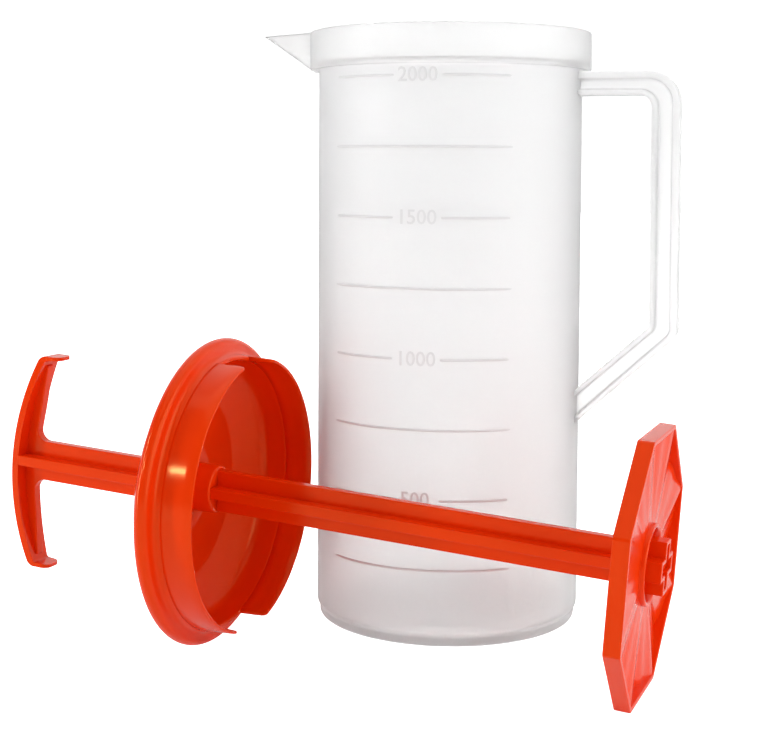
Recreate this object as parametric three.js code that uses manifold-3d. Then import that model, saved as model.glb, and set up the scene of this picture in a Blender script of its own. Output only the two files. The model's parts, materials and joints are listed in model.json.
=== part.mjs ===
// Two-litre measuring jug with a pouring spout and a handle, and a plunger set lying in front of it.
// The set is a domed lid threaded on a cross-section rod, with a T-grip at one end and an octagonal
// mixing disc at the other. Millimetres, +Z up. The origin is the centre of the jug's base on the
// table, +X points to the handle, -X to the spout and -Y to the measuring scale.
import * as THREE from "three";
import { mergeVertices } from "three/addons/utils/BufferGeometryUtils.js";
import Module from "manifold-3d";

const wasm = await Module();
wasm.setup();

// ---------------------------------------------------------------- driving dimensions

// Jug: a straight cup with a stepped-out collar round its mouth.
const JUG_R = 55.6;
const JUG_WALL = 2.0;
const JUG_FLOOR = 2.8;
const JUG_H = 246.4;
const JUG_SIDES = 48;
const FOOT_R = 54.2;
const FOOT_H = 3.2;
const BASE_ROUND = 6.8;
const COLLAR_R = 59.4;
const COLLAR_WALL = 1.8;
const COLLAR_H = 15.8;
const COLLAR_Z = JUG_H - COLLAR_H;

// Measuring scale: raised lines on the side facing -Y, one each quarter litre.
const SCALE_FIRST_Z = 30.8;
const SCALE_STEP = 27.9;
const SCALE_LINES = 8;
const SCALE_FROM_DEG = -44;
const SCALE_TO_DEG = 39.5;
const GAP_FROM_DEG = -11;
const GAP_TO_DEG = 8.6;
const LINE_PROUD = 0.45;
const LINE_TALL = 0.9;

// Spout: a V-shaped beak through the collar.
const SPOUT_TIP_R = 82.8;
const SPOUT_HALF_W = 19;
const SPOUT_NOSE_R = 3.6;
const SPOUT_WALL = 1.8;

// Handle: a D with a straight top arm, an upright bar and a sloping lower arm.
const ARM_TOP_Z = 229.9;
const ARM_T = 9.8;
const BAR_OUT_R = 96.7;
const BAR_T = 11.6;
const BAR_LOW_OUT_Z = 121.6;
const BAR_LOW_IN_Z = 124.8;
const SLOPE_ROOT_TOP_Z = 98.2;
const SLOPE_ROOT_LOW_Z = 84.7;
const HANDLE_W = 14;
const HANDLE_WEB = 4;
const FLANGE_OUT = 3.2;
const FLANGE_IN = 2.6;
const HANDLE_OUT_ROUND = 13;
const HANDLE_IN_ROUND = 5;

// Plunger set. Along its own axis the rim of the lid is at 0, the grip is at the negative end and
// the disc at the positive end.
const BEAD_R = 60.8;
const LID_WALL = 1.9;
const DOME_RISE = 19;
const CROWN_R = 37.5;
const SKIRT_R = 54.2;
const SKIRT_END = 13.6;
const SKIRT_ROOT = 2;
const SKIRT_GAP_HALF_DEG = 13.5;
const LID_LEAN_DEG = 2.5;
const HUB_R = 10.3;
const HUB_X = -0.5;
const HUB_END = -2.5;
const HUB_CLEAR = 0.8;
const ROD_HALF = 8.1;
const FIN_T = 4.2;
const ROD_CLEAR = 0.35;
const GRIP_Z = -92.4;
const GRIP_HALF = 41.4;
const GRIP_SAG = 7.8;
const GRIP_T = 3;
const GRIP_LIP = 7.4;
const GRIP_LIP_T = 1.8;
const GRIP_W = 16.4;
const GRIP_TIP_W = 10;
const RIB_H = 4;
const RIB_ROUND = 4.6;
const NECK_Z = GRIP_Z + 14;
const DISC_Z = 172.3;
const DISC_R = 52.1;
const DISC_RIM_H = 6.2;
const DISC_RIM_T = 1.8;
const PLATE_T = 1.6;
const PLEAT = 4;
const WELL_R = 15;
const SOCKET_HALF = 9.8;
const SOCKET_PROUD = 6;
const SEAM = 0.3;

// Where the set lies: on the lid's bead and on one flat side of the disc.
const SET_X = -75.4;
const SET_Y = -68.6;
const SET_YAW_DEG = -6.6;

const rad = THREE.MathUtils.degToRad;

// ---------------------------------------------------------------- geometry helpers

// Signed volume of an indexed geometry.
function signedVolume(geometry) {
  const p = geometry.attributes.position;
  const index = geometry.index;
  const [a, b, c] = [new THREE.Vector3(), new THREE.Vector3(), new THREE.Vector3()];
  let volume = 0;
  for (let i = 0; i < index.count; i += 3) {
    a.fromBufferAttribute(p, index.getX(i));
    b.fromBufferAttribute(p, index.getX(i + 1));
    c.fromBufferAttribute(p, index.getX(i + 2));
    volume += a.dot(b.cross(c)) / 6;
  }
  return volume;
}

// A closed geometry as a solid for cutting and joining, with its faces turned outwards.
function solid(geometry) {
  const g = geometry.clone();
  g.deleteAttribute("normal");
  g.deleteAttribute("uv");
  const merged = mergeVertices(g, 1e-4);
  const triVerts = Uint32Array.from(merged.index.array);
  if (signedVolume(merged) < 0) {
    for (let i = 0; i < triVerts.length; i += 3) {
      [triVerts[i + 1], triVerts[i + 2]] = [triVerts[i + 2], triVerts[i + 1]];
    }
  }
  const vertProperties = Float32Array.from(merged.attributes.position.array);
  return new wasm.Manifold(new wasm.Mesh({ numProp: 3, vertProperties, triVerts }));
}

// A solid back to a geometry.
function geometryOf(manifold) {
  const mesh = manifold.getMesh();
  const g = new THREE.BufferGeometry();
  g.setAttribute("position", new THREE.BufferAttribute(Float32Array.from(mesh.vertProperties), 3));
  g.setIndex(new THREE.BufferAttribute(Uint32Array.from(mesh.triVerts), 1));
  g.computeVertexNormals();
  return g;
}

// A body of revolution about Z from [radius, height] pairs.
function lathe(profile, sides) {
  const points = profile.map(([r, z]) => new THREE.Vector2(r, z));
  return new THREE.LatheGeometry(points, sides).rotateX(Math.PI / 2);
}

// A flat outline of [x, y] pairs, extruded from z0 to z1.
function prism(outline, z0, z1) {
  const shape = new THREE.Shape(outline.map(([x, y]) => new THREE.Vector2(x, y)));
  const options = { depth: z1 - z0, bevelEnabled: false, steps: 1 };
  return new THREE.ExtrudeGeometry(shape, options).translate(0, 0, z0);
}

// An outline of [x, z] pairs, extruded from -half to +half along Y.
function slabXZ(outline, half) {
  return prism(outline, -half, half).rotateX(Math.PI / 2);
}

// A closed body between loops of equal count. With closed = true the last loop joins the first;
// otherwise both end loops are capped, and must be convex.
function loft(loops, closed) {
  const n = loops[0].length;
  const positions = loops.flat(2);
  const triangles = [];
  const spans = closed ? loops.length : loops.length - 1;
  for (let k = 0; k < spans; k++) {
    const next = (k + 1) % loops.length;
    for (let i = 0; i < n; i++) {
      const j = (i + 1) % n;
      const [a, b, c, d] = [k * n + i, k * n + j, next * n + j, next * n + i];
      triangles.push(a, b, c, a, c, d);
    }
  }
  if (!closed) {
    const last = (loops.length - 1) * n;
    for (let i = 1; i < n - 1; i++) {
      triangles.push(0, i + 1, i);
      triangles.push(last, last + i, last + i + 1);
    }
  }
  const g = new THREE.BufferGeometry();
  g.setAttribute("position", new THREE.Float32BufferAttribute(positions, 3));
  g.setIndex(triangles);
  return g;
}

// Points of an arc, angles in degrees.
function arc(cx, cy, r, from, to, steps) {
  return Array.from({ length: steps + 1 }, (_, i) => {
    const t = rad(from + ((to - from) * i) / steps);
    return [cx + r * Math.cos(t), cy + r * Math.sin(t)];
  });
}

// An outline with chosen corners rounded. Each corner is [x, y, radius].
function rounded(corners, steps = 4) {
  return corners.flatMap(([x, y, r], i) => {
    if (!r) return [[x, y]];
    const p = new THREE.Vector2(x, y);
    const before = corners[(i + corners.length - 1) % corners.length];
    const after = corners[(i + 1) % corners.length];
    const u = new THREE.Vector2(before[0], before[1]).sub(p).normalize();
    const v = new THREE.Vector2(after[0], after[1]).sub(p).normalize();
    const half = Math.acos(THREE.MathUtils.clamp(u.dot(v), -1, 1)) / 2;
    const reach = r / Math.tan(half);
    const centre = p.clone().add(u.clone().add(v).normalize().multiplyScalar(r / Math.sin(half)));
    const a = p.clone().add(u.multiplyScalar(reach)).sub(centre);
    const b = p.clone().add(v.multiplyScalar(reach)).sub(centre);
    let turn = b.angle() - a.angle();
    if (turn > Math.PI) turn -= 2 * Math.PI;
    if (turn < -Math.PI) turn += 2 * Math.PI;
    return Array.from({ length: steps + 1 }, (_, k) => {
      const t = a.angle() + (turn * k) / steps;
      return [centre.x + r * Math.cos(t), centre.y + r * Math.sin(t)];
    });
  });
}

function polygon(sides, radius, z, phaseDeg) {
  return Array.from({ length: sides }, (_, i) => {
    const t = rad(phaseDeg + (360 * i) / sides);
    return [radius * Math.cos(t), radius * Math.sin(t), z];
  });
}

// The outline of a cross with arms of half-length h and thickness t.
function cross(h, t) {
  const w = t / 2;
  return [
    [w, w], [w, h], [-w, h], [-w, w], [-h, w], [-h, -w],
    [-w, -w], [-w, -h], [w, -h], [w, -w], [h, -w], [h, w],
  ];
}

// ---------------------------------------------------------------- materials

function plastic(color, roughness, opacity = 1) {
  const transparent = opacity < 1;
  return new THREE.MeshStandardMaterial({ color, roughness, metalness: 0, opacity, transparent });
}

const frosted = plastic(0xf1f3f4, 0.45, 0.75);
const orange = plastic(0xdc3208, 0.2);

function part(name, manifold, material) {
  const mesh = new THREE.Mesh(geometryOf(manifold), material);
  mesh.name = name;
  return mesh;
}

// ---------------------------------------------------------------- jug

const jug = new THREE.Group();
const innerR = JUG_R - JUG_WALL;

const outerBase = [
  [0, 0],
  [FOOT_R - 1.4, 0],
  [FOOT_R, 1.4],
  [FOOT_R + 0.2, FOOT_H],
  [JUG_R - 0.5, FOOT_H + 1.6],
  [JUG_R, BASE_ROUND],
];
const innerBase = [
  [innerR, BASE_ROUND + 1.5],
  [innerR - 0.7, BASE_ROUND - 0.9],
  [innerR - 2.3, JUG_FLOOR + 1.3],
  [innerR - 5.2, JUG_FLOOR + 0.3],
  [innerR - 9, JUG_FLOOR],
  [0, JUG_FLOOR],
];
const cup = solid(lathe([...outerBase, [JUG_R, COLLAR_Z], [innerR, COLLAR_Z], ...innerBase], JUG_SIDES));
const filledJug = solid(lathe([...outerBase, [JUG_R, JUG_H], [0, JUG_H]], JUG_SIDES));

// Radius of the many-sided wall at an angle from the middle of one of its corners.
function wallRadius(angleDeg) {
  const step = 360 / JUG_SIDES;
  const off = (((angleDeg % step) + step) % step) - step / 2;
  return (JUG_R * Math.cos(rad(step / 2))) / Math.cos(rad(off));
}

// One raised scale line between two angles, measured from -Y towards +X.
function scaleLine(z, from, to) {
  const step = 360 / JUG_SIDES;
  const angles = [from];
  for (let a = Math.ceil((from + 0.5) / step) * step; a < to - 0.5; a += step) angles.push(a);
  angles.push(to);
  const at = (a, extra) => {
    const r = wallRadius(a) + extra;
    return [r * Math.sin(rad(a)), -r * Math.cos(rad(a))];
  };
  const outside = angles.map((a) => at(a, LINE_PROUD));
  const inside = angles.map((a) => at(a, -JUG_WALL / 2)).reverse();
  return solid(prism([...outside, ...inside], z - LINE_TALL / 2, z + LINE_TALL / 2));
}

// Every second line is broken in the middle, where its number stands.
let scaled = cup;
for (let i = 0; i < SCALE_LINES; i++) {
  const z = SCALE_FIRST_Z + SCALE_STEP * i;
  if (i % 2 === 0) {
    scaled = scaled.add(scaleLine(z, SCALE_FROM_DEG, SCALE_TO_DEG));
  } else {
    scaled = scaled.add(scaleLine(z, SCALE_FROM_DEG, GAP_FROM_DEG));
    scaled = scaled.add(scaleLine(z, GAP_TO_DEG, SCALE_TO_DEG));
  }
}
jug.add(part("jug_body", scaled, frosted));

// The beak's outline at one height: two straight sides meeting in a rounded nose.
function beak(halfW, tipR, noseR, z) {
  const nose = arc(-(tipR - noseR), 0, noseR, 120, 240, 4);
  const outline = [[-48, halfW], [-56, halfW], ...nose, [-56, -halfW], [-48, -halfW]];
  return outline.map(([x, y]) => [x, y, z]);
}

const collarIn = COLLAR_R - COLLAR_WALL;
const collarOutside = [
  [COLLAR_R - 0.6, COLLAR_Z],
  [COLLAR_R, COLLAR_Z + 0.8],
  [COLLAR_R, JUG_H - 0.6],
  [COLLAR_R - 0.5, JUG_H],
];
const collarInside = [
  [collarIn + 0.5, JUG_H],
  [collarIn, JUG_H - 0.6],
  [collarIn, COLLAR_Z + 3.2],
  [collarIn - 0.9, COLLAR_Z + 2.2],
  [innerR, COLLAR_Z + 2.2],
  [innerR, COLLAR_Z],
];
const firstPoint = collarOutside[0];
const collarRing = solid(lathe([...collarOutside, ...collarInside, firstPoint], JUG_SIDES));
const collarPlug = solid(
  lathe([[0, COLLAR_Z], ...collarOutside.slice(0, 3), [COLLAR_R, JUG_H + 2], [0, JUG_H + 2]], JUG_SIDES),
);
const channelZ = COLLAR_Z + 2.2;
const channel = solid(
  loft([
    beak(1.4, COLLAR_R + 0.4, 0.8, channelZ),
    beak(SPOUT_HALF_W - 2.2, SPOUT_TIP_R - SPOUT_WALL - 0.4, SPOUT_NOSE_R - 1.6, JUG_H),
    beak(SPOUT_HALF_W - 2.2, SPOUT_TIP_R - SPOUT_WALL - 0.4, SPOUT_NOSE_R - 1.6, JUG_H + 3),
  ], false),
);
const beakOutside = solid(
  loft([
    beak(3.2, COLLAR_R + 0.5, 1.6, COLLAR_Z),
    beak(SPOUT_HALF_W, SPOUT_TIP_R, SPOUT_NOSE_R, JUG_H),
  ], false),
);
jug.add(part("rim_collar", collarRing.subtract(channel), frosted));
jug.add(part("pouring_spout", beakOutside.subtract(collarPlug).subtract(channel), frosted));

// The handle's two edges, each as an outline that starts and ends inside the wall.
const rootR = JUG_R - 4;
const slope = (BAR_LOW_OUT_Z - SLOPE_ROOT_LOW_Z) / (BAR_OUT_R - JUG_R);
const rootDrop = slope * (JUG_R - rootR);
function handleOutline(inset, insetIn) {
  const steep = Math.hypot(1, slope);
  return {
    outer: rounded([
      [rootR, ARM_TOP_Z - inset, 0],
      [BAR_OUT_R - inset, ARM_TOP_Z - inset, HANDLE_OUT_ROUND - inset],
      [BAR_OUT_R - inset, BAR_LOW_OUT_Z + inset * (steep - slope), 4],
      [rootR, SLOPE_ROOT_LOW_Z - rootDrop + inset * steep, 0],
    ]),
    inner: rounded([
      [rootR, ARM_TOP_Z - ARM_T + insetIn, 0],
      [BAR_OUT_R - BAR_T + insetIn, ARM_TOP_Z - ARM_T + insetIn, HANDLE_IN_ROUND + insetIn],
      [BAR_OUT_R - BAR_T + insetIn, BAR_LOW_IN_Z - insetIn * (steep - slope), 4],
      [rootR, SLOPE_ROOT_TOP_Z - rootDrop - insetIn * steep, 0],
    ]),
  };
}

const edges = handleOutline(0, 0);
const inset = handleOutline(FLANGE_OUT, FLANGE_IN);
const full = HANDLE_W / 2;
const far = full + 1;
const whole = solid(slabXZ(edges.outer, full)).subtract(solid(slabXZ(edges.inner, far)));
const pocketShape = solid(slabXZ(inset.outer, far)).subtract(solid(slabXZ(inset.inner, far + 1)));
const web = solid(slabXZ(edges.outer, HANDLE_WEB / 2));
const handle = whole.subtract(pocketShape.subtract(web)).subtract(filledJug);
jug.add(part("jug_handle", handle, frosted));

// ---------------------------------------------------------------- plunger set, along its own axis

const plungerSet = new THREE.Group();

// Lid: a flat crown on a shallow cone inside a thick rim, with the skirt hanging under it. It leans
// a little on the rod, as far as the play in its hub allows.
const domeOutside = [
  [0, -DOME_RISE],
  [CROWN_R, -DOME_RISE + 0.2],
  [CROWN_R + 3, -DOME_RISE + 1.2],
  [47, -14.6],
  [51.5, -11.8],
  [55, -9],
  [58.6, -7.6],
  [60.2, -6.6],
  [BEAD_R, -5],
  [BEAD_R, -2.6],
  [BEAD_R - 0.7, -1.2],
  [SKIRT_R + 0.6, SKIRT_ROOT],
];
const skirtIn = SKIRT_R - LID_WALL;
const domeInside = [
  [skirtIn, SKIRT_ROOT],
  [skirtIn, -5.6],
  [skirtIn - 0.6, -7.6],
  [50, -9.8],
  [46.4, -12.3],
  [CROWN_R + 2, -DOME_RISE + 2.9],
  [CROWN_R, -DOME_RISE + 2.2],
  [0, -DOME_RISE + 2],
];
const lidCross = cross(ROD_HALF + HUB_CLEAR, FIN_T + 2 * HUB_CLEAR);
const rodHole = solid(prism(lidCross, -DOME_RISE - 5, HUB_END + 5).translate(HUB_X, 0, 0));
const lid = new THREE.Group();
lid.rotation.y = -rad(LID_LEAN_DEG);
lid.add(part("lid_dome", solid(lathe([...domeOutside, ...domeInside], 48)).subtract(rodHole), orange));

const hubTube = solid(prism(arc(HUB_X, 0, HUB_R, 0, 345, 23), -DOME_RISE + 2.2 + SEAM, HUB_END));
lid.add(part("lid_hub", hubTube.subtract(rodHole), orange));

// The skirt is two opposite curved walls with a pouring gap between them at each end.
function skirtWall(middleDeg) {
  const from = middleDeg - 90 + SKIRT_GAP_HALF_DEG;
  const to = middleDeg + 90 - SKIRT_GAP_HALF_DEG;
  const outside = arc(0, 0, SKIRT_R, from, to, 20);
  const inside = arc(0, 0, skirtIn, to, from, 20);
  return solid(prism([...outside, ...inside], SKIRT_ROOT + SEAM, SKIRT_END));
}
lid.add(part("lid_skirt_front", skirtWall(-90), orange));
lid.add(part("lid_skirt_back", skirtWall(90), orange));

// Rod: a cross section from the grip's neck into the disc's socket.
const rod = solid(prism(cross(ROD_HALF, FIN_T), NECK_Z, DISC_Z + SOCKET_PROUD - 1.5));

// Grip: a curved band with both ends turned towards the lid, a rib along its inside, and a neck of
// the rod's section. The rib sweeps into the neck's upright fins.
const gripR = (GRIP_HALF ** 2 + GRIP_SAG ** 2) / (2 * GRIP_SAG);
const gripSpan = THREE.MathUtils.radToDeg(Math.asin(GRIP_HALF / gripR));
const bandZ = GRIP_Z + gripR;
function hollowZ(x) {
  return bandZ - Math.sqrt(gripR ** 2 - x ** 2);
}
function bandOutline() {
  const hollow = arc(0, bandZ, gripR, 270 - gripSpan, 270 + gripSpan, 16);
  const crown = arc(0, bandZ, gripR + GRIP_T, 270 + gripSpan, 270 - gripSpan, 16);
  const tipZ = GRIP_Z + GRIP_SAG + GRIP_LIP;
  const end = GRIP_HALF + 0.6;
  const right = [
    [end - GRIP_LIP_T, GRIP_Z + GRIP_SAG + 1.6],
    [end - GRIP_LIP_T, tipZ - 0.5],
    [end - GRIP_LIP_T + 0.5, tipZ],
    [end - 0.5, tipZ],
    [end, tipZ - 0.5],
    [end, GRIP_Z + GRIP_SAG + 0.5],
  ];
  const left = right.map(([x, z]) => [-x, z]).reverse();
  return [...hollow.slice(1, -1), ...right, ...crown.slice(1, -1), ...left];
}

// The band seen along the rod: wide in the middle, narrower at the ends.
function leaf() {
  const side = Array.from({ length: 13 }, (_, i) => {
    const x = -GRIP_HALF - 2 + ((2 * GRIP_HALF + 4) * i) / 12;
    const f = Math.cos((x / (GRIP_HALF + 2)) * (Math.PI / 2)) ** 0.8;
    return [x, (GRIP_TIP_W + (GRIP_W - GRIP_TIP_W) * f) / 2];
  });
  return [...side, ...side.map(([x, y]) => [x, -y]).reverse()];
}

// One half of the rib's free edge, from the end of the band to the neck.
function ribEdge() {
  const foot = ROD_HALF + RIB_ROUND;
  const edge = Array.from({ length: 7 }, (_, i) => {
    const x = GRIP_HALF - 3 + ((foot - GRIP_HALF + 3) * i) / 6;
    return [x, hollowZ(x) + RIB_H * Math.min(1, 0.35 + (0.65 * i) / 3)];
  });
  const turnZ = hollowZ(foot) + RIB_H + RIB_ROUND;
  return [...edge.slice(0, -1), ...arc(foot, turnZ, RIB_ROUND, -90, -180, 5)];
}
const halfRib = ribEdge();
const ribOutline = [
  [GRIP_HALF - 1.5, hollowZ(GRIP_HALF - 2) - 1.2],
  ...halfRib,
  [ROD_HALF, NECK_Z - SEAM],
  [-ROD_HALF, NECK_Z - SEAM],
  ...halfRib.map(([x, z]) => [-x, z]).reverse(),
  [-GRIP_HALF + 1.5, hollowZ(GRIP_HALF - 2) - 1.2],
  [-20, hollowZ(20) - 1.2],
  [0, GRIP_Z - 1.2],
  [20, hollowZ(20) - 1.2],
];
const rib = solid(slabXZ(ribOutline, FIN_T / 2));
const levelFin = solid(
  prism(
    [[-FIN_T / 2, -ROD_HALF], [FIN_T / 2, -ROD_HALF], [FIN_T / 2, ROD_HALF], [-FIN_T / 2, ROD_HALF]],
    GRIP_Z - 1.2,
    NECK_Z - SEAM,
  ),
);
const gripCut = solid(prism(leaf(), GRIP_Z - 10, GRIP_Z + 30));
const gripBand = solid(slabXZ(bandOutline(), GRIP_W)).intersect(gripCut);
const grip = gripBand.add(rib).add(levelFin);

const plunger = new THREE.Group();
plunger.add(part("plunger_rod", rod, orange));
plunger.add(part("plunger_grip", grip, orange));

// Mixing disc: an octagonal rim round a pleated plate, with a round well and a cross socket.
const disc = new THREE.Group();
const rimBack = DISC_Z - DISC_RIM_H;
const rimIn = DISC_R - DISC_RIM_T / Math.cos(rad(22.5));
const rim = loft([
  polygon(8, DISC_R, rimBack, 22.5),
  polygon(8, DISC_R, DISC_Z, 22.5),
  polygon(8, rimIn, DISC_Z, 22.5),
  polygon(8, rimIn, rimBack, 22.5),
], true);
disc.add(part("disc_rim", solid(rim), orange));

// The plate's edge rises to the front at each corner and falls to the back at each mid-side.
const plateR = rimIn - SEAM / Math.cos(rad(22.5));
const plateIn = (WELL_R + SEAM) / Math.cos(rad(11.25));
const midZ = DISC_Z - DISC_RIM_H / 2;
function plateEdge(lift) {
  return Array.from({ length: 16 }, (_, i) => {
    const corner = i % 2 === 1;
    const t = rad(22.5 * i);
    const r = corner ? plateR : plateR * Math.cos(rad(22.5));
    return [r * Math.cos(t), r * Math.sin(t), midZ + (corner ? PLEAT / 2 : -PLEAT / 2) + lift];
  });
}
const plate = loft([
  plateEdge(-PLATE_T / 2),
  plateEdge(PLATE_T / 2),
  polygon(16, plateIn, midZ + PLATE_T / 2, 0),
  polygon(16, plateIn, midZ - PLATE_T / 2, 0),
], true);
disc.add(part("disc_plate", solid(plate), orange));

const wellFloor = rimBack - 0.8;
const wellBody = solid(lathe([
  [0, wellFloor],
  [WELL_R, wellFloor],
  [WELL_R, DISC_Z - 0.4],
  [WELL_R - 1.8, DISC_Z - 0.4],
  [WELL_R - 1.8, wellFloor + 1.8],
  [0, wellFloor + 1.8],
], 32));
const socket = solid(prism(cross(SOCKET_HALF, FIN_T + 3.4), wellFloor, DISC_Z + SOCKET_PROUD));
const socketHole = solid(
  prism(cross(ROD_HALF + ROD_CLEAR, FIN_T + 2 * ROD_CLEAR), wellFloor - 5, DISC_Z + SOCKET_PROUD + 5),
);
disc.add(part("disc_socket", wellBody.add(socket).subtract(socketHole), orange));

// ---------------------------------------------------------------- the set on the table

// The axis slopes from the leaning lid's rim down to the smaller disc, and both touch the table.
const discFlat = DISC_R * Math.cos(rad(22.5));
const lean = rad(LID_LEAN_DEG);
let tilt = 0;
for (let i = 0; i < 12; i++) {
  const rimHeight = BEAD_R * Math.cos(tilt - lean) - 2.6 * Math.sin(tilt - lean);
  tilt = Math.asin((rimHeight - discFlat * Math.cos(tilt)) / DISC_Z);
}
const lift = discFlat * Math.cos(tilt) + DISC_Z * Math.sin(tilt);
plungerSet.add(lid, plunger, disc);
plungerSet.position.set(SET_X, SET_Y, lift);
plungerSet.rotation.set(0, Math.PI / 2 + tilt, rad(SET_YAW_DEG), "ZYX");

const root = new THREE.Group();
root.add(jug, plungerSet);

export default root;
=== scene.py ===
"""A two-litre mixing jug of frosted plastic, with its orange plunger set lying in front of it.

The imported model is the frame. Each moulding gets one fine mesh that rides on its CAD body: the jug
with its handle and scale, the lid, the plunger rod with its grip, and the mixing disc.
Lengths in the shape code are millimetres, and turn into metres where a mesh is made.
"""

import json
import math

import bmesh
import bpy
from mathutils import Matrix, Vector


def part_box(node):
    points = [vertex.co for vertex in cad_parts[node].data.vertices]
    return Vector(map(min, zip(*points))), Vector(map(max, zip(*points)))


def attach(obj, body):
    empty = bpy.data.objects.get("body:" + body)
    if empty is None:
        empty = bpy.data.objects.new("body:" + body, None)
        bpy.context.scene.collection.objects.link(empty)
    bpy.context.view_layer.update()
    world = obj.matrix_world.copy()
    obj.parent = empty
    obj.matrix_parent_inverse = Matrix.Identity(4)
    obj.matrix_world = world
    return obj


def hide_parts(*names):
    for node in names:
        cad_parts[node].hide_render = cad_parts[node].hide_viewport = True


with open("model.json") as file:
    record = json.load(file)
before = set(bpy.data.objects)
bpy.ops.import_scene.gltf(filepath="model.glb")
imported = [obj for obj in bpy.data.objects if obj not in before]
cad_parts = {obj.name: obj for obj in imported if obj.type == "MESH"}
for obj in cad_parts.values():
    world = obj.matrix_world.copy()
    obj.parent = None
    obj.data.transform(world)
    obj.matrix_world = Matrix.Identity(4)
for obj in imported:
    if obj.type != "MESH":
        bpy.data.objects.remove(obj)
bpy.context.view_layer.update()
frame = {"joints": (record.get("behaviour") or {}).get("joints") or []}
MM = 0.001

# ------------------------------------------------------------------ the frame's own facts


def corners(node):
    """The two corners of a CAD node's box, in millimetres."""
    lo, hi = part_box(node)
    return Vector(lo) / MM, Vector(hi) / MM


def slide_axis(name):
    """The direction in which a joint slides."""
    for joint in frame["joints"]:
        if joint["name"] == name:
            return Vector(joint["axis"]).normalized()
    raise ValueError(name)


JUG_R = corners("jug_body")[1].x
COLLAR_LO, COLLAR_HI = corners("rim_collar")
JUG_H = COLLAR_HI.z
COLLAR_Z = COLLAR_LO.z
COLLAR_R = COLLAR_HI.x
HANDLE_LO, HANDLE_HI = corners("jug_handle")
SPOUT_TIP = -corners("pouring_spout")[0].x

# The plunger set's own frame: z runs along the rod from the lid's rim at 0 to the disc's front at
# DISC_Z, and -x is up. The lid leans in it.
ROD_AXIS = slide_axis("rod_slide")
SIDE = Vector((0, 0, 1)).cross(ROD_AXIS).normalized()
DOWN = SIDE.cross(ROD_AXIS)
DISC_Z = 172.3
RIM_H = 6.2
DISC_LO, DISC_HI = corners("disc_rim")
SET_ORIGIN = (DISC_LO + DISC_HI) / 2 - ROD_AXIS * (DISC_Z - RIM_H / 2)
SET_FRAME = Matrix.Translation(SET_ORIGIN) @ Matrix((DOWN, SIDE, ROD_AXIS)).transposed().to_4x4()
LID_LEAN = math.radians(2.5)
LID_FRAME = SET_FRAME @ Matrix.Rotation(-LID_LEAN, 4, "Y")

# ------------------------------------------------------------------ mesh helpers


def make_object(name, verts, faces):
    """A mesh object from millimetre points, turned outwards, with smooth faces."""
    mesh = bpy.data.meshes.new(name)
    mesh.from_pydata([Vector(v) * MM for v in verts], [], faces)
    bm = bmesh.new()
    bm.from_mesh(mesh)
    bmesh.ops.remove_doubles(bm, verts=bm.verts, dist=1e-7)
    bmesh.ops.recalc_face_normals(bm, faces=bm.faces)
    bm.to_mesh(mesh)
    bm.free()
    mesh.polygons.foreach_set("use_smooth", [True] * len(mesh.polygons))
    obj = bpy.data.objects.new(name, mesh)
    bpy.context.scene.collection.objects.link(obj)
    return obj


def loft(loops, ring=True, closed=False, caps=True):
    """Quads between loops of equal count, as (verts, faces).

    ring joins each loop's ends, closed joins the last loop to the first, and caps close both ends.
    """
    n = len(loops[0])
    verts = [p for loop in loops for p in loop]
    faces = []
    spans = len(loops) if closed else len(loops) - 1
    for k in range(spans):
        m = (k + 1) % len(loops)
        for i in range(n if ring else n - 1):
            j = (i + 1) % n
            faces.append((k * n + i, k * n + j, m * n + j, m * n + i))
    if caps and not closed:
        faces.append(tuple(range(n)))
        faces.append(tuple(range((len(loops) - 1) * n, len(loops) * n)))
    return verts, faces


def merge(*parts):
    """Several (verts, faces) pairs as one."""
    verts, faces = [], []
    for v, f in parts:
        base = len(verts)
        verts += v
        faces += [tuple(i + base for i in face) for face in f]
    return verts, faces


def soften(obj, width, segments, angle=28):
    """Rounded edges where faces meet at more than the angle, then clean shading."""
    bevel = obj.modifiers.new("edge_round", "BEVEL")
    bevel.width = width * MM
    bevel.segments = segments
    bevel.limit_method = "ANGLE"
    bevel.angle_limit = math.radians(angle)
    bevel.miter_outer = "MITER_ARC"
    normal = obj.modifiers.new("even_shading", "WEIGHTED_NORMAL")
    normal.keep_sharp = True
    normal.weight = 60


def bake_modifiers(obj):
    """The object's mesh with its modifiers applied."""
    graph = bpy.context.evaluated_depsgraph_get()
    mesh = bpy.data.meshes.new_from_object(obj.evaluated_get(graph))
    obj.modifiers.clear()
    obj.data = mesh


def join(name, objects):
    """Several objects as one mesh object."""
    bm = bmesh.new()
    for obj in objects:
        bake_modifiers(obj)
        bm.from_mesh(obj.data)
        bpy.data.objects.remove(obj)
    mesh = bpy.data.meshes.new(name)
    bm.to_mesh(mesh)
    bm.free()
    result = bpy.data.objects.new(name, mesh)
    bpy.context.scene.collection.objects.link(result)
    return result


def arc(cx, cy, r, start, end, steps):
    """Points of an arc, angles in degrees."""
    angles = [math.radians(start + (end - start) * i / steps) for i in range(steps + 1)]
    return [(cx + r * math.cos(a), cy + r * math.sin(a)) for a in angles]


def lathe(profile, sides, closed=False):
    """A body of revolution about z from (radius, z) pairs; ends at radius 0 close on the axis.

    closed joins the last pair to the first.
    """
    angles = [2 * math.pi * i / sides for i in range(sides)]
    loops = [[(r * math.cos(a), r * math.sin(a), z) for a in angles] for r, z in profile]
    return loft(loops, closed=closed, caps=False)


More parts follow.
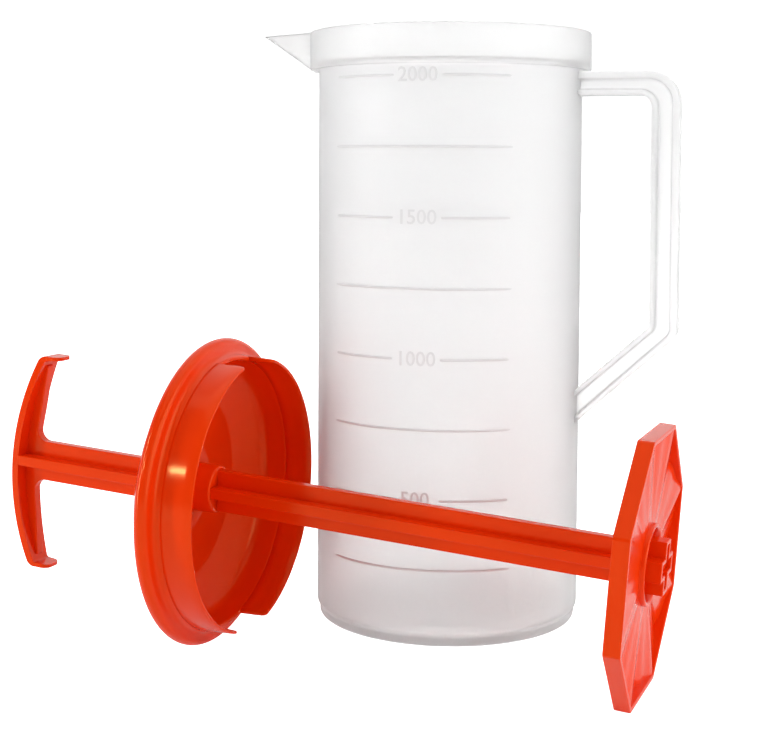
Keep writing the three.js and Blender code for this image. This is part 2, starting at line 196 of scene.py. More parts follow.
def rounded_path(points, steps=8):
    """A polyline of (x, y, radius) with its corners rounded. Every corner has steps + 1 points."""
    out = []
    for i, (x, y, r) in enumerate(points):
        if not r:
            out.append((x, y))
            continue
        p = Vector((x, y))
        u = (Vector(points[i - 1][:2]) - p).normalized()
        v = (Vector(points[(i + 1) % len(points)][:2]) - p).normalized()
        half = u.angle(v) / 2
        centre = p + (u + v).normalized() * (r / math.sin(half))
        a = p + u * (r / math.tan(half)) - centre
        b = p + v * (r / math.tan(half)) - centre
        start = math.atan2(a.y, a.x)
        turn = math.atan2(b.y, b.x) - start
        turn = (turn + math.pi) % (2 * math.pi) - math.pi
        for k in range(steps + 1):
            t = start + turn * k / steps
            out.append((centre.x + r * math.cos(t), centre.y + r * math.sin(t)))
    return out


def soft_max(a, b, reach):
    """The larger of two numbers, blended where they are within reach of each other."""
    d = abs(a - b)
    if d >= reach:
        return max(a, b)
    return max(a, b) + (reach - d) ** 2 / (4 * reach)


# ------------------------------------------------------------------ jug

# The collar stands out from the body on a ledge, and the foot is a little narrower than the body.
WALL = 2.0
COLLAR_WALL = 1.8
LIP_ROUND = 0.7
LEDGE = 2.2
FLOOR_TOP = 2.8
FOOT_R = JUG_R - 1.2
FOOT_ROUND = 1.6
BASE_ROUND = 3.2
INNER_ROUND = 5.4
BODY_LEVELS = [16, 30, 60, 100, 140, 180, 215, COLLAR_Z - 3]

# The spout grows out of the collar from the ledge up, within SPOUT_SPREAD of the -X direction.
SPOUT_ROOT_R = 56.0
SPOUT_START_R = COLLAR_R + 0.4
SPOUT_WALL = 2.2
SPOUT_SPREAD = math.radians(40)
SPOUT_BLEND = 1.6


def beak_radius(phi, half_w, tip, nose):
    """How far the spout's outline lies from the jug's axis, at an angle from the spout's own line.

    The outline is two straight sides, half_w off that line at their roots, and a rounded nose.
    """
    phi = abs(phi)
    centre = tip - nose
    run = centre - SPOUT_ROOT_R
    turn = math.atan2(-half_w, run) + math.asin(min(1.0, nose / math.hypot(run, half_w)))
    nx, ny = -math.sin(turn), math.cos(turn)
    touch = math.atan2(ny * nose, centre + nx * nose)
    if phi <= touch:
        return centre * math.cos(phi) + math.sqrt(max(0.0, nose**2 - (centre * math.sin(phi)) ** 2))
    return (nx * SPOUT_ROOT_R + ny * half_w) / (nx * math.cos(phi) + ny * math.sin(phi))


def spout_push(r, z, phi, outside):
    """The collar's radius at a height and angle, pushed out where the spout is."""
    start_z = COLLAR_Z if outside else COLLAR_Z + LEDGE
    if z < start_z or abs(phi) > SPOUT_SPREAD:
        return r
    t = (z - start_z) / (JUG_H - start_z)
    if outside:
        tip = SPOUT_START_R + (SPOUT_TIP - SPOUT_START_R) * t
        beak = beak_radius(phi, 3.2 + 15.8 * t, tip, 1.6 + 2 * t)
    else:
        tip = SPOUT_START_R + (SPOUT_TIP - SPOUT_WALL - SPOUT_START_R) * t
        beak = beak_radius(phi, 1.4 + 15.4 * t, tip, 0.8 + 1.2 * t)
    return soft_max(r, beak, SPOUT_BLEND)


def jug_outside():
    """(radius, z) pairs from the middle of the base, round the foot and the collar, up to the lip."""
    points = [(0, 0.35), (20, 0.3), (44, 0.1), (49.6, 0)]
    points += arc(FOOT_R - FOOT_ROUND, FOOT_ROUND, FOOT_ROUND, -90, 0, 6)
    points += [(FOOT_R, 2.4), (FOOT_R + 0.06, 3.2)]
    points += arc(JUG_R - BASE_ROUND, 6.6, BASE_ROUND, -50, 0, 6)
    points += [(JUG_R, z) for z in BODY_LEVELS]
    points += arc(JUG_R + 1.2, COLLAR_Z - 1.1, 1.2, 180, 100, 4)
    points += [(JUG_R + 2.4, COLLAR_Z + 0.05)]
    points += arc(COLLAR_R - 1.0, COLLAR_Z + 1.0, 1.0, -80, 0, 4)
    points += [(COLLAR_R, COLLAR_Z + k) for k in (3, 6, 9, 12)]
    points += arc(COLLAR_R - LIP_ROUND, JUG_H - LIP_ROUND, LIP_ROUND, 0, 90, 4)
    return points


def jug_hollow():
    """(radius, z) pairs from the lip, over the ledge under the collar, down to the floor's middle."""
    collar_in = COLLAR_R - COLLAR_WALL
    wall_in = JUG_R - WALL
    points = arc(collar_in + LIP_ROUND, JUG_H - LIP_ROUND, LIP_ROUND, 90, 180, 4)
    points += [(collar_in, COLLAR_Z + k) for k in (12, 9, 6, 4.4)]
    points += arc(collar_in - 1.1, COLLAR_Z + LEDGE + 1.1, 1.1, 0, -90, 4)
    points += [(wall_in + 1.4, COLLAR_Z + LEDGE)]
    points += arc(wall_in + 1.0, COLLAR_Z + LEDGE - 1.0, 1.0, 90, 180, 4)
    points += [(wall_in, z) for z in reversed(BODY_LEVELS)]
    points += arc(wall_in - INNER_ROUND, FLOOR_TOP + 0.1 + INNER_ROUND, INNER_ROUND, 0, -84, 9)
    points += [(r, FLOOR_TOP) for r in (36, 18, 0)]
    return points


def jug_shell():
    """The jug's wall, swept round the axis with close steps where the spout is."""
    close = [math.radians(-30 + 0.75 * i) for i in range(81)]
    wide = [math.radians(30 + 2.5 * i) for i in range(1, 120)]
    above_body = JUG_R + 1.3
    loops = []
    for outline, outside in ((jug_outside(), True), (jug_hollow(), False)):
        for r, z in outline:
            loop = []
            for a in close + wide:
                phi = (a + math.pi) % (2 * math.pi) - math.pi
                q = spout_push(r, z, phi, outside) if r > above_body else r
                loop.append((-q * math.cos(a), q * math.sin(a), z))
            loops.append(loop)
    return make_object("shell", *loft(loops, caps=False))


# The handle's top arm, upright bar and sloping arm, then the H section that they share.
ARM_T = 9.8
BAR_T = 11.6
BAR_LEVELS = (185, 150)
BAR_LOW_OUT_Z = 121.6
BAR_LOW_IN_Z = 124.8
SLOPE_ROOT_IN_Z = 98.2
ROOT_DEPTH = 1.3
HANDLE_HALF_W = 7.0
WEB_HALF_T = 2.0
FLANGE_IN = 2.3
FLANGE_OUT = 3.0
DRAFT = 0.5


def jug_handle():
    """The handle: a web between two flanges, swept from the top arm round to the sloping arm."""
    root = JUG_R - ROOT_DEPTH
    arm_end = root + 9
    out_x, top, low = HANDLE_HI.x, HANDLE_HI.z, HANDLE_LO.z
    in_x, arm_low = out_x - BAR_T, top - ARM_T
    root_drop = ROOT_DEPTH * (BAR_LOW_OUT_Z - low) / (out_x - JUG_R)
    outer = rounded_path(
        [(root, top, 0), (arm_end, top, 0), (out_x, top, 13)]
        + [(out_x, z, 0) for z in BAR_LEVELS]
        + [(out_x, BAR_LOW_OUT_Z, 5), (root, low - root_drop, 0)]
    )
    inner = rounded_path(
        [(root, arm_low, 0), (arm_end, arm_low, 0), (in_x, arm_low, 5)]
        + [(in_x, z, 0) for z in BAR_LEVELS]
        + [(in_x, BAR_LOW_IN_Z, 4), (root, SLOPE_ROOT_IN_Z - root_drop, 0)]
    )
    wide, web = HANDLE_HALF_W, WEB_HALF_T
    loops = []
    for (ox, oz), (ix, iz) in zip(outer, inner):
        size = math.hypot(ox - ix, oz - iz)
        ux, uz = (ox - ix) / size, (oz - iz) / size
        far = size - FLANGE_OUT
        section = [
            (size, -wide), (size, wide), (far, wide), (far - DRAFT, web), (FLANGE_IN + DRAFT, web),
            (FLANGE_IN, wide), (0, wide), (0, -wide), (FLANGE_IN, -wide), (FLANGE_IN + DRAFT, -web),
            (far - DRAFT, -web), (far, -wide),
        ]
        loops.append([(ix + ux * s, y, iz + uz * s) for s, y in section])
    obj = make_object("handle", *loft(loops))
    soften(obj, 0.7, 3)
    return obj


# The scale's lines, one each quarter litre, and their ends as degrees about -Y towards +X.
SCALE_Z = [30.8 + 27.9 * i for i in range(8)]
STEP_ML = 250
WHOLE_LINE = [(-44, 39.5)]
BROKEN_LINE = [(-42.5, -11), (8.6, 38)]
NUMBER_TURN = math.radians(1.2)
NUMBER_SIZE = 8.2


def scale_mark(z, start, end):
    """A raised line with soft ends, from one angle to another."""
    count = max(6, int(abs(end - start) / 1.5))
    loops = []
    for i in range(count + 1):
        t = i / count
        a = math.radians(start + (end - start) * t)
        taper = min(1.0, 12 * min(t, 1 - t) + 0.15)
        loop = []
        for k in range(9):
            b = math.pi * k / 8
            r = JUG_R - 0.15 + 0.55 * taper * math.sin(b)
            h = 0.5 * math.cos(b)
            loop.append((r * math.sin(a), -r * math.cos(a), z + h))
        loops.append(loop)
    return loft(loops)


def scale_marks():
    """All lines. Every second one is broken in the middle, where its number stands."""
    parts = []
    for i, z in enumerate(SCALE_Z):
        for start, end in BROKEN_LINE if i % 2 else WHOLE_LINE:
            parts.append(scale_mark(z, start, end))
    return make_object("marks", *merge(*parts))


def scale_number(text, z):
    """A raised number wrapped round the jug, centred in the gap of its line."""
    curve = bpy.data.curves.new("number", "FONT")
    curve.body = text
    curve.size = NUMBER_SIZE
    curve.align_x = "CENTER"
    curve.align_y = "CENTER"
    curve.extrude = 0.12
    curve.bevel_depth = 0.06
    curve.resolution_u = 3
    flat = bpy.data.objects.new("number", curve)
    bpy.context.scene.collection.objects.link(flat)
    graph = bpy.context.evaluated_depsgraph_get()
    mesh = bpy.data.meshes.new_from_object(flat.evaluated_get(graph))
    verts = []
    for v in mesh.vertices:
        a = v.co.x / JUG_R - NUMBER_TURN
        r = JUG_R + v.co.z
        verts.append((r * math.sin(a), -r * math.cos(a), z + v.co.y))
    faces = [tuple(p.vertices) for p in mesh.polygons]
    bpy.data.objects.remove(flat)
    return verts, faces


# ------------------------------------------------------------------ plunger set

# The lid has a round bead, centred on BEAD_X, BEAD_Z, and a skirt of two walls. The rod is a cross.
BEAD_R = 60.8
BEAD_X, BEAD_Z = 57.9, -4.4
SKIRT_R = 54.2
SKIRT_IN = 52.3
SKIRT_END = 13.6
SKIRT_HALF_DEG = 76.5
SKIRT_CORNER = 1.6
ROD_HALF = 8.1
FIN_T = 4.2


def lid_dome():
    """The lid's crown, cone and thick rim, down to the low ridge that the skirt stands on."""
    outside = [(9.2, -19.0), (20, -18.98), (33, -18.9), (36.6, -18.7), (38.6, -18.25), (41, -17.3)]
    outside += [(44, -15.9), (47.5, -14.0), (51, -11.9), (53.8, -9.9), (55.8, -8.4)]
    outside += arc(BEAD_X, BEAD_Z, BEAD_R - BEAD_X, -62, 82, 16)
    outside += [(57.2, -1.45), (56.2, -1.3), (55.4, -0.9), (54.8, -0.1), (54.5, 0.8), (54.3, 1.8)]
    outside += [(53.9, 2.5)]
    hollow = [(52.8, 2.5), (52.35, 1.9), (SKIRT_IN, 1.0), (SKIRT_IN, -2), (SKIRT_IN, -5.4)]
    hollow += [(52.05, -7.0), (51.3, -8.5), (49.8, -10.0), (47.2, -11.7), (43.4, -13.8)]
    hollow += [(40.4, -15.4), (38.9, -16.15), (38.2, -16.45), (37.6, -16.6), (36.8, -16.66)]
    hollow += [(30, -16.8), (20, -16.9), (9.2, -16.95)]
    return make_object("dome", *lathe(outside + hollow, 192, closed=True))


def skirt_wall(middle):
    """One curved wall of the skirt: filleted at its root, thinner and rounded at its free edge.

    Its steps are closer towards both ends, where the free edge's corners are rounded.
    """
    loops = []
    for i in range(121):
        u = -1 + 2 * i / 120
        u = math.copysign(1 - (1 - abs(u)) ** 1.25, u)
        a = math.radians(middle + SKIRT_HALF_DEG * u)
        to_end = math.radians(SKIRT_HALF_DEG * (1 - abs(u))) * SKIRT_R
        cut = max(0.0, SKIRT_CORNER - to_end)
        top = SKIRT_END - SKIRT_CORNER + math.sqrt(max(0.0, SKIRT_CORNER**2 - cut**2))
        section = [
            (SKIRT_IN, 0.4), (SKIRT_R + 0.3, 0.5), (SKIRT_R + 0.12, 2.2), (SKIRT_R + 0.04, 3.5),
            (SKIRT_R, 5), (SKIRT_R - 0.1, 9), (SKIRT_R - 0.25, top - 0.5), (SKIRT_R - 0.45, top - 0.12),
            (SKIRT_R - 0.8, top), (SKIRT_R - 1.2, top - 0.1), (SKIRT_R - 1.45, top - 0.45),
            (SKIRT_R - 1.6, 9), (SKIRT_R - 1.75, 5),
        ]
        loops.append([(r * math.cos(a), r * math.sin(a), z) for r, z in section])
    return make_object("skirt", *loft(loops))


def cross_outline(h, t):
    """A cross with arms of half-length h and thickness t."""
    w = t / 2
    return [
        (w, w), (w, h), (-w, h), (-w, w), (-h, w), (-h, -w),
        (-w, -w), (-w, -h), (w, -h), (w, -w), (h, -w), (h, w),
    ]


HUB_TOP = -18.95
HUB_END = -2.5
HUB_MID = -11


def lid_hub():
    """A round sleeve with a cross-shaped hole that follows the leaning rod."""
    corner_points = cross_outline(ROD_HALF + 0.1, FIN_T + 0.2)
    hole = []
    for (ax, ay), (bx, by) in zip(corner_points, corner_points[1:] + corner_points[:1]):
        hole += [(ax + (bx - ax) * k / 4, ay + (by - ay) * k / 4) for k in range(4)]
    turns = [math.atan2(y, x) for x, y in hole]
    middle = math.sin(LID_LEAN) * HUB_MID
    sleeve = [(9.9, HUB_TOP), (9.9, -15.6), (9.6, -14), (9.5, -3.5), (9.35, -2.9), (9.0, -2.55)]
    loops = [[(x + math.sin(LID_LEAN) * HUB_TOP, y, HUB_TOP) for x, y in hole]]
    for radius, z in sleeve:
        loops.append([(middle + radius * math.cos(a), radius * math.sin(a), z) for a in turns])
    loops.append([(x + math.sin(LID_LEAN) * HUB_END, y, HUB_END) for x, y in hole])
    return make_object("hub", *loft(loops, closed=True))


# The grip is a bowed band, whose inner face is GRIP_Z along the rod at its middle, with a rib inside.
GRIP_Z = -92.4
GRIP_HALF = 41.4
GRIP_SAG = 7.8
GRIP_R = (GRIP_HALF**2 + GRIP_SAG**2) / (2 * GRIP_SAG)
GRIP_T = 2.9
GRIP_TIP_HALF_W = 5.0
GRIP_BULGE = 3.2
TIP_ROUND = 3.4
LIP_BEND = 1.8
LIP_LENGTH = 5.6
LIP_TURN = math.radians(86)
RIB_H = 4.0
RIB_ROUND = 4.6
ROD_END = 175.3


def hollow_z(x):
    """Height of the grip band's inner face at a distance from its middle."""
    return GRIP_Z + GRIP_R - math.sqrt(GRIP_R**2 - x**2)


def slab(name, outline, half, bevel):
    """An (x, z) outline with thickness along y, and rounded edges."""
    obj = make_object(name, *loft([[(x, y, z) for x, z in outline] for y in (-half, half)]))
    soften(obj, bevel, 3, 50)
    return obj


def rib_height(i):
    """The rib's height above the band at its i-th point from the tip, rising to full before the neck."""
    return RIB_H * (0.2 + 0.8 * math.sin(math.pi / 2 * min(1.0, i / 20)))


def upright_web():
    """The rod's upright fins and the grip's rib, which run into each other in one sweep."""
    neck = ROD_HALF + RIB_ROUND
    rib_end = GRIP_HALF - 1.5
    half = []
    for i in range(25):
        x = rib_end + (neck - rib_end) * i / 24
        half.append((x, hollow_z(x) + rib_height(i)))
    half += arc(neck, hollow_z(neck) + RIB_H + RIB_ROUND, RIB_ROUND, -96, -180, 12)
    half += [(ROD_HALF, z) for z in (-70, -40, -10, 20, 60, 100, 140, ROD_END)]
    back = [(x, hollow_z(x) - 1.2) for x in range(-40, 41, 4)]
    return slab("upright", half + [(-x, z) for x, z in reversed(half)] + back, FIN_T / 2, 0.4)


def level_web():
    """The rod's other pair of fins, at right angles."""
    levels = [GRIP_Z - 1.0, -60, -20, 20, 60, 100, 140, ROD_END - 0.05]
    outline = [(ROD_HALF, z) for z in levels] + [(-ROD_HALF, z) for z in reversed(levels)]
    obj = slab("level", outline, FIN_T / 2, 0.4)
    bake_modifiers(obj)
    obj.data.transform(Matrix.Rotation(math.pi / 2, 4, "Z"))
    return obj


def grip_spine():
    """The band's inner line as (x, z, heading, thickness share, distance left to the free end)."""
    far_from_end = 99.0
    span = math.degrees(math.asin(GRIP_HALF / GRIP_R))
    bow = []
    for i in range(49):
        a = math.radians(-span + 2 * span * i / 48)
        bow.append((GRIP_R * math.sin(a), GRIP_Z + GRIP_R * (1 - math.cos(a)), a, 1.0, far_from_end))
    x0, z0, a0 = bow[-1][:3]
    cx, cz = x0 - LIP_BEND * math.sin(a0), z0 + LIP_BEND * math.cos(a0)
    lip = []
    for k in range(1, 9):
        a = a0 + (LIP_TURN - a0) * k / 8
        x, z = cx + LIP_BEND * math.sin(a), cz - LIP_BEND * math.cos(a)
        lip.append((x, z, a, 1 - 0.4 * k / 8, far_from_end))
    for k in range(1, 13):
        d = LIP_LENGTH * (1 - (1 - k / 12) ** 1.6)
        end_x, end_z = x + d * math.cos(LIP_TURN), z + d * math.sin(LIP_TURN)
        lip.append((end_x, end_z, LIP_TURN, 0.6 - 0.12 * k / 12, LIP_LENGTH - d))
    mirrored = [(-x, z, -a, share, left) for x, z, a, share, left in reversed(lip)]
    return mirrored + bow + lip


def grip_band():
    """The curved hand band: widest in the middle, its thin rounded ends turned towards the lid."""
    reach = GRIP_HALF + 2
    loops = []
    for x, z, a, share, left in grip_spine():
        f = max(0.0, math.cos(min(1.0, abs(x) / reach) * math.pi / 2)) ** 0.8
        half = GRIP_TIP_HALF_W + GRIP_BULGE * f
        if left < TIP_ROUND:
            half -= TIP_ROUND - math.sqrt(TIP_ROUND**2 - (TIP_ROUND - left) ** 2)
        nx, nz = math.sin(a), -math.cos(a)
        t = GRIP_T * share
        section = [(half, 0), (half, t), (-half, t), (-half, 0)]
        loops.append([(x + nx * d, y, z + nz * d) for y, d in section])
    obj = make_object("band", *loft(loops))
    soften(obj, 0.6, 3, 35)
    return obj


# The disc: an octagonal rim, a pleated plate inside it, and a round well with a cross socket.
DISC_R = 52.1
RIM_T = 1.8
PLATE_HALF_T = 0.8
PLATE_IN = 13.4
PLEAT_HALF = 1.7
FLUTE = 0.28
WELL_R = 15.0
WELL_PROUD = 0.8
SOCKET_PROUD = 4.6
HALF_SIDE = math.radians(22.5)


def octagon(radius, round_r, z):
    """An eight-sided loop at a height, with flats on the axes and slightly rounded corners."""
    corner_points = []
    for k in range(8):
        a = HALF_SIDE + math.pi / 4 * k
        corner_points.append((radius * math.cos(a), radius * math.sin(a), round_r))
    return [(x, y, z) for x, y in rounded_path(corner_points, 4)]


def disc_rim():
    """The band round the disc."""
    back = DISC_Z - RIM_H
    inner_r = DISC_R - RIM_T / math.cos(HALF_SIDE)
    loops = [octagon(DISC_R, 2.0, z) for z in (back, DISC_Z)]
    loops += [octagon(inner_r, 1.2, z) for z in (DISC_Z, back)]
    obj = make_object("rim", *loft(loops, closed=True))
    soften(obj, 0.45, 3, 40)
    return obj


def plate_loop(f, offset):
    """One ring of the plate, from the well at f = 0 to the rim at f = 1."""
    mid = DISC_Z - RIM_H / 2
    flat_r = (DISC_R - 1.0) * math.cos(HALF_SIDE)
    points = []
    for i in range(96):
        degrees = 3.75 * i
        a = math.radians(degrees)
        from_corner = abs((degrees % 45) - 22.5) / 22.5
        far = flat_r / math.cos(HALF_SIDE * (1 - from_corner))
        r = PLATE_IN + (far - PLATE_IN) * f
        flute = FLUTE * math.cos(3 * math.pi * from_corner)
        z = mid + (PLEAT_HALF * (1 - 2 * from_corner) + flute) * f + offset
        points.append((r * math.cos(a), r * math.sin(a), z))
    return points


def disc_plate():
    """The pleated plate: high to the front at the corners, low to the back at mid-sides, with flutes."""
    steps = [0, 0.12, 0.3, 0.5, 0.75, 1.0]
    front = [plate_loop(f, PLATE_HALF_T) for f in steps]
    back = [plate_loop(f, -PLATE_HALF_T) for f in reversed(steps)]
    obj = make_object("plate", *loft(front + back, closed=True))
    soften(obj, 0.3, 2, 60)
    return obj


def disc_well():
    """The round well in the disc's middle, open at the front."""
    back = DISC_Z - RIM_H - WELL_PROUD
    front = DISC_Z - 0.4
    profile = [
        (0, back), (10, back), (14.2, back), (14.8, back + 0.3), (WELL_R, back + 0.9),
        (WELL_R, front - 0.6), (14.7, front - 0.1), (14.3, front), (13.6, front - 0.1),
        (13.3, front - 0.6), (13.2, back + 3), (12.9, back + 2.1), (12.2, back + 1.8), (0, back + 1.8),
    ]
    return make_object("well", *lathe(profile, 96))


def disc_socket():
    """The cross socket round the rod's end, open at the front."""
    back = DISC_Z - RIM_H - WELL_PROUD + 0.1
    front = DISC_Z + SOCKET_PROUD
    outer = cross_outline(9.8, FIN_T + 3.4)
    hole = cross_outline(ROD_HALF + 0.2, FIN_T + 0.4)
    loops = []
    for outline, z in ((outer, back), (outer, front), (hole, front), (hole, back)):
        loops.append([(x, y, z) for x, y in outline])
    obj = make_object("socket", *loft(loops, closed=True))
    soften(obj, 0.4, 3, 40)
    return obj


def placed(obj, own_frame=SET_FRAME):
    """Moves a piece made in the set's or the lid's own frame to where it lies."""
    obj.data.transform(Matrix.Scale(MM, 4) @ own_frame @ Matrix.Scale(1 / MM, 4))
    return obj


# ------------------------------------------------------------------ materials


def node_material(name):
    """A new material with its node tree and its Principled shader."""
    material = bpy.data.materials.new(name)
    material.use_nodes = True
    tree = material.node_tree
    shader = tree.nodes["Principled BSDF"]
    return material, tree, shader


def noise(tree, scale, detail, rough=0.5):
    """A noise value that keeps to the object."""
    coords = tree.nodes.new("ShaderNodeTexCoord")
    texture = tree.nodes.new("ShaderNodeTexNoise")
    texture.inputs["Scale"].default_value = scale
    texture.inputs["Detail"].default_value = detail
    texture.inputs["Roughness"].default_value = rough
    tree.links.new(coords.outputs["Object"], texture.inputs["Vector"])
    return texture.outputs["Fac"]


def ramp(tree, source, low, high):
    """A colour between two, by a value that is mostly between 0.3 and 0.7."""
    node = tree.nodes.new("ShaderNodeValToRGB")
    for element, position, colour in zip(node.color_ramp.elements, (0.3, 0.7), (low, high)):
        element.position = position
        element.color = colour
    tree.links.new(source, node.inputs["Fac"])
    return node.outputs["Color"]


def spread(tree, source, low, high):
    """A value mapped from 0..1 to low..high."""
    node = tree.nodes.new("ShaderNodeMapRange")
    node.inputs["To Min"].default_value = low
    node.inputs["To Max"].default_value = high
    tree.links.new(source, node.inputs["Value"])
    return node.outputs["Result"]


def bump(tree, shader, source, strength, distance):
    """A slight unevenness of the surface."""
    node = tree.nodes.new("ShaderNodeBump")
    node.inputs["Strength"].default_value = strength
    node.inputs["Distance"].default_value = distance
    tree.links.new(source, node.inputs["Height"])
    tree.links.new(node.outputs["Normal"], shader.inputs["Normal"])


def frosted_plastic():
    """Natural polypropylene: milky, letting some light through, with a soft sheen."""
    material, tree, shader = node_material("frosted_plastic")
    cloud = noise(tree, 14, 2)
    colour = ramp(tree, cloud, (0.96, 0.962, 0.962, 1), (0.975, 0.976, 0.976, 1))
    tree.links.new(colour, shader.inputs["Base Color"])
    tree.links.new(spread(tree, noise(tree, 60, 4), 0.32, 0.42), shader.inputs["Roughness"])
    shader.inputs["IOR"].default_value = 1.3
    shader.inputs["Transmission Weight"].default_value = 0.66
    shader.inputs["Subsurface Weight"].default_value = 1.0
    shader.inputs["Subsurface Radius"].default_value = (1, 1, 1)
    shader.inputs["Subsurface Scale"].default_value = 0.012
    bump(tree, shader, noise(tree, 900, 3, 0.6), 0.06, 0.0003)
    return material


def moulded_marks():
    """The scale's raised lines and numbers: the same milky plastic, too thin to see into."""
    material, tree, shader = node_material("moulded_marks")
    colour = ramp(tree, noise(tree, 40, 2), (0.84, 0.842, 0.842, 1), (0.88, 0.882, 0.882, 1))
    tree.links.new(colour, shader.inputs["Base Color"])
    tree.links.new(spread(tree, noise(tree, 90, 3), 0.34, 0.44), shader.inputs["Roughness"])
    shader.inputs["IOR"].default_value = 1.49
    return material


def orange_plastic():
    """Opaque orange polypropylene, glossy from a polished mould, with slight flow variation."""
    material, tree, shader = node_material("orange_plastic")
    flow = noise(tree, 22, 3)
    colour = ramp(tree, flow, (0.85, 0.034, 0.0005, 1), (0.90, 0.042, 0.0008, 1))
    tree.links.new(colour, shader.inputs["Base Color"])
    tree.links.new(spread(tree, noise(tree, 45, 4), 0.13, 0.2), shader.inputs["Roughness"])
    shader.inputs["IOR"].default_value = 1.49
    shader.inputs["Specular IOR Level"].default_value = 0.5
    shader.inputs["Specular Tint"].default_value = (1.0, 0.6, 0.2, 1)
    bump(tree, shader, noise(tree, 160, 2), 0.05, 0.0006)
    return material


def seen_directly(tree):
    """1 for rays from the camera and through the clear plastic, else 0."""
    path = tree.nodes.new("ShaderNodeLightPath")
    seen = tree.nodes.new("ShaderNodeMath")
    seen.operation = "MAXIMUM"
    tree.links.new(path.outputs["Is Camera Ray"], seen.inputs[0])
    tree.links.new(path.outputs["Is Transmission Ray"], seen.inputs[1])
    return seen.outputs[0]


def floor_material():
    """A pale table lit from within, most for rays that see it directly, so that it stays white."""
    material, tree, shader = node_material("white_table")
    tone = ramp(tree, noise(tree, 3, 2), (0.86, 0.86, 0.86, 1), (0.90, 0.90, 0.90, 1))
    tree.links.new(tone, shader.inputs["Base Color"])
    shader.inputs["Roughness"].default_value = 0.9
    shader.inputs["Specular IOR Level"].default_value = 0.0
    shader.inputs["Emission Color"].default_value = (1, 1, 1, 1)
    hidden_glow, seen_glow = 0.14, 1.2
    glow = tree.nodes.new("ShaderNodeMath")
    glow.operation = "MULTIPLY_ADD"
    glow.inputs[1].default_value = seen_glow - hidden_glow
    glow.inputs[2].default_value = hidden_glow
    tree.links.new(seen_directly(tree), glow.inputs[0])
    tree.links.new(glow.outputs[0], shader.inputs["Emission Strength"])
    return material


FROSTED = frosted_plastic()
ORANGE = orange_plastic()

# ------------------------------------------------------------------ pieces


def finish_piece(piece, material, body, nodes):
    """One material, the body that the piece rides on and the CAD nodes that it stands for."""
    piece.data.materials.clear()
    piece.data.materials.append(material)
    for polygon in piece.data.polygons:
        polygon.material_index = 0
    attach(piece, body)
    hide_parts(*nodes)


jug = join("mixing_jug", [jug_shell(), jug_handle()])
finish_piece(
    jug, FROSTED, "jug", ["jug_body", "rim_collar", "pouring_spout", "jug_handle"]
)

numbers = merge(*[scale_number(str(STEP_ML * (i + 1)), SCALE_Z[i]) for i in (1, 3, 5, 7)])
marks = join("scale_marks", [scale_marks(), make_object("numbers", *numbers)])
marks.data.materials.append(moulded_marks())
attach(marks, "jug")

lid = placed(join("plunger_lid", [lid_dome(), lid_hub(), skirt_wall(-90), skirt_wall(90)]), LID_FRAME)
finish_piece(
    lid, ORANGE, "lid", ["lid_dome", "lid_hub", "lid_skirt_front", "lid_skirt_back"]
)

rod = placed(join("rod_and_grip", [upright_web(), level_web(), grip_band()]))
finish_piece(rod, ORANGE, "plunger", ["plunger_rod", "plunger_grip"])

disc = placed(join("mixing_disc_piece", [disc_rim(), disc_plate(), disc_well(), disc_socket()]))
finish_piece(
    disc, ORANGE, "mixing_disc", ["disc_rim", "disc_plate", "disc_socket"]
)

# ------------------------------------------------------------------ table, light and camera

REACH = 6000
corner_rows = [[(-REACH, y, 0), (REACH, y, 0)] for y in (-REACH, REACH)]
floor = make_object("table_top", *loft(corner_rows, ring=False, caps=False))
floor.location.z = -0.0002
floor.data.materials.append(floor_material())

scene = bpy.context.scene
scene.view_settings.view_transform = "Standard"


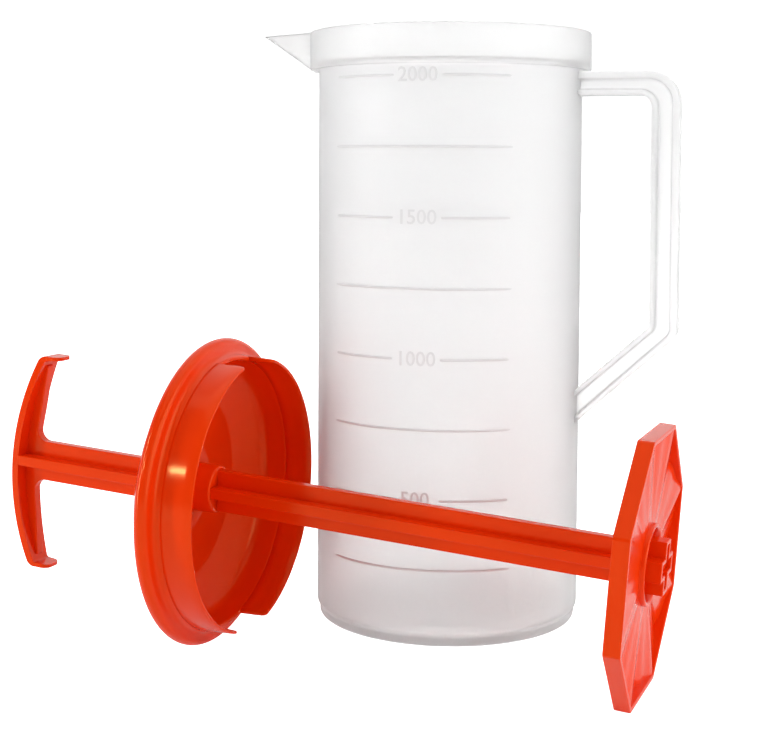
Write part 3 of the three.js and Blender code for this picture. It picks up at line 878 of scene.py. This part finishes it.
def studio_world():
    """White where it is seen directly. What lights the set is brighter behind it than in front."""
    world = bpy.data.worlds.new("studio")
    world.use_nodes = True
    sky = world.node_tree
    coords = sky.nodes.new("ShaderNodeTexCoord")
    split = sky.nodes.new("ShaderNodeSeparateXYZ")
    depth = sky.nodes.new("ShaderNodeMapRange")
    for name, value in (("From Min", -0.1), ("From Max", 0.6), ("To Min", 0.22), ("To Max", 0.88)):
        depth.inputs[name].default_value = value
    surround = sky.nodes["Background"]
    surround.inputs["Color"].default_value = (1, 1, 1, 1)
    backdrop = sky.nodes.new("ShaderNodeBackground")
    backdrop.inputs["Color"].default_value = (1, 1, 1, 1)
    backdrop.inputs["Strength"].default_value = 1.12
    choose = sky.nodes.new("ShaderNodeMixShader")
    sky.links.new(coords.outputs["Generated"], split.inputs["Vector"])
    sky.links.new(split.outputs["Y"], depth.inputs["Value"])
    sky.links.new(depth.outputs["Result"], surround.inputs["Strength"])
    sky.links.new(seen_directly(sky), choose.inputs["Fac"])
    sky.links.new(surround.outputs["Background"], choose.inputs[1])
    sky.links.new(backdrop.outputs["Background"], choose.inputs[2])
    sky.links.new(choose.outputs["Shader"], sky.nodes["World Output"].inputs["Surface"])
    return world


scene.world = studio_world()


def area_light(name, at, toward, size, watts):
    """A soft rectangular light that the camera doesn't see. Metres."""
    data = bpy.data.lights.new(name, "AREA")
    data.shape = "RECTANGLE"
    data.size, data.size_y = size
    data.energy = watts
    obj = bpy.data.objects.new(name, data)
    obj.location = at
    obj.rotation_euler = (Vector(toward) - Vector(at)).to_track_quat("-Z", "Y").to_euler()
    obj.visible_camera = False
    scene.collection.objects.link(obj)


area_light("strip_left", (-0.93, -0.55, 0.35), (-0.05, -0.04, 0.1), (0.07, 0.8), 4.1)
area_light("spot_left", (-0.57, -0.86, 0.47), (-0.07, -0.08, 0.07), (0.1, 0.04), 1.1)
area_light("soft_front", (0.75, -1.1, 0.55), (-0.05, -0.05, 0.08), (0.8, 0.8), 0.6)
area_light("soft_right", (1.15, -0.35, 0.4), (-0.1, -0.06, 0.08), (1.3, 1.3), 10.0)
area_light("soft_top", (0.1, -0.1, 1.3), (0, 0, 0), (1.2, 1.2), 2.6)

# The camera stands to the right of the jug and looks a little down and to the left.
CAMERA_AT = (0.1376, -0.6337, 0.1898)
YAW = math.radians(14.5)
PITCH = 0.05
ROLL = 0.006


def front_camera():
    """The view in the photograph."""
    data = bpy.data.cameras.new("view")
    data.sensor_fit = "HORIZONTAL"
    data.sensor_width = 36
    data.lens = 70.26
    data.shift_y = -0.1627
    data.clip_end = 50
    obj = bpy.data.objects.new("view", data)
    obj.location = CAMERA_AT
    look = Vector((-math.sin(YAW), math.cos(YAW), -math.tan(PITCH)))
    roll = Matrix.Rotation(ROLL, 3, "Z").to_quaternion()
    obj.rotation_euler = (look.to_track_quat("-Z", "Y") @ roll).to_euler()
    scene.collection.objects.link(obj)
    return obj


scene.camera = front_camera()
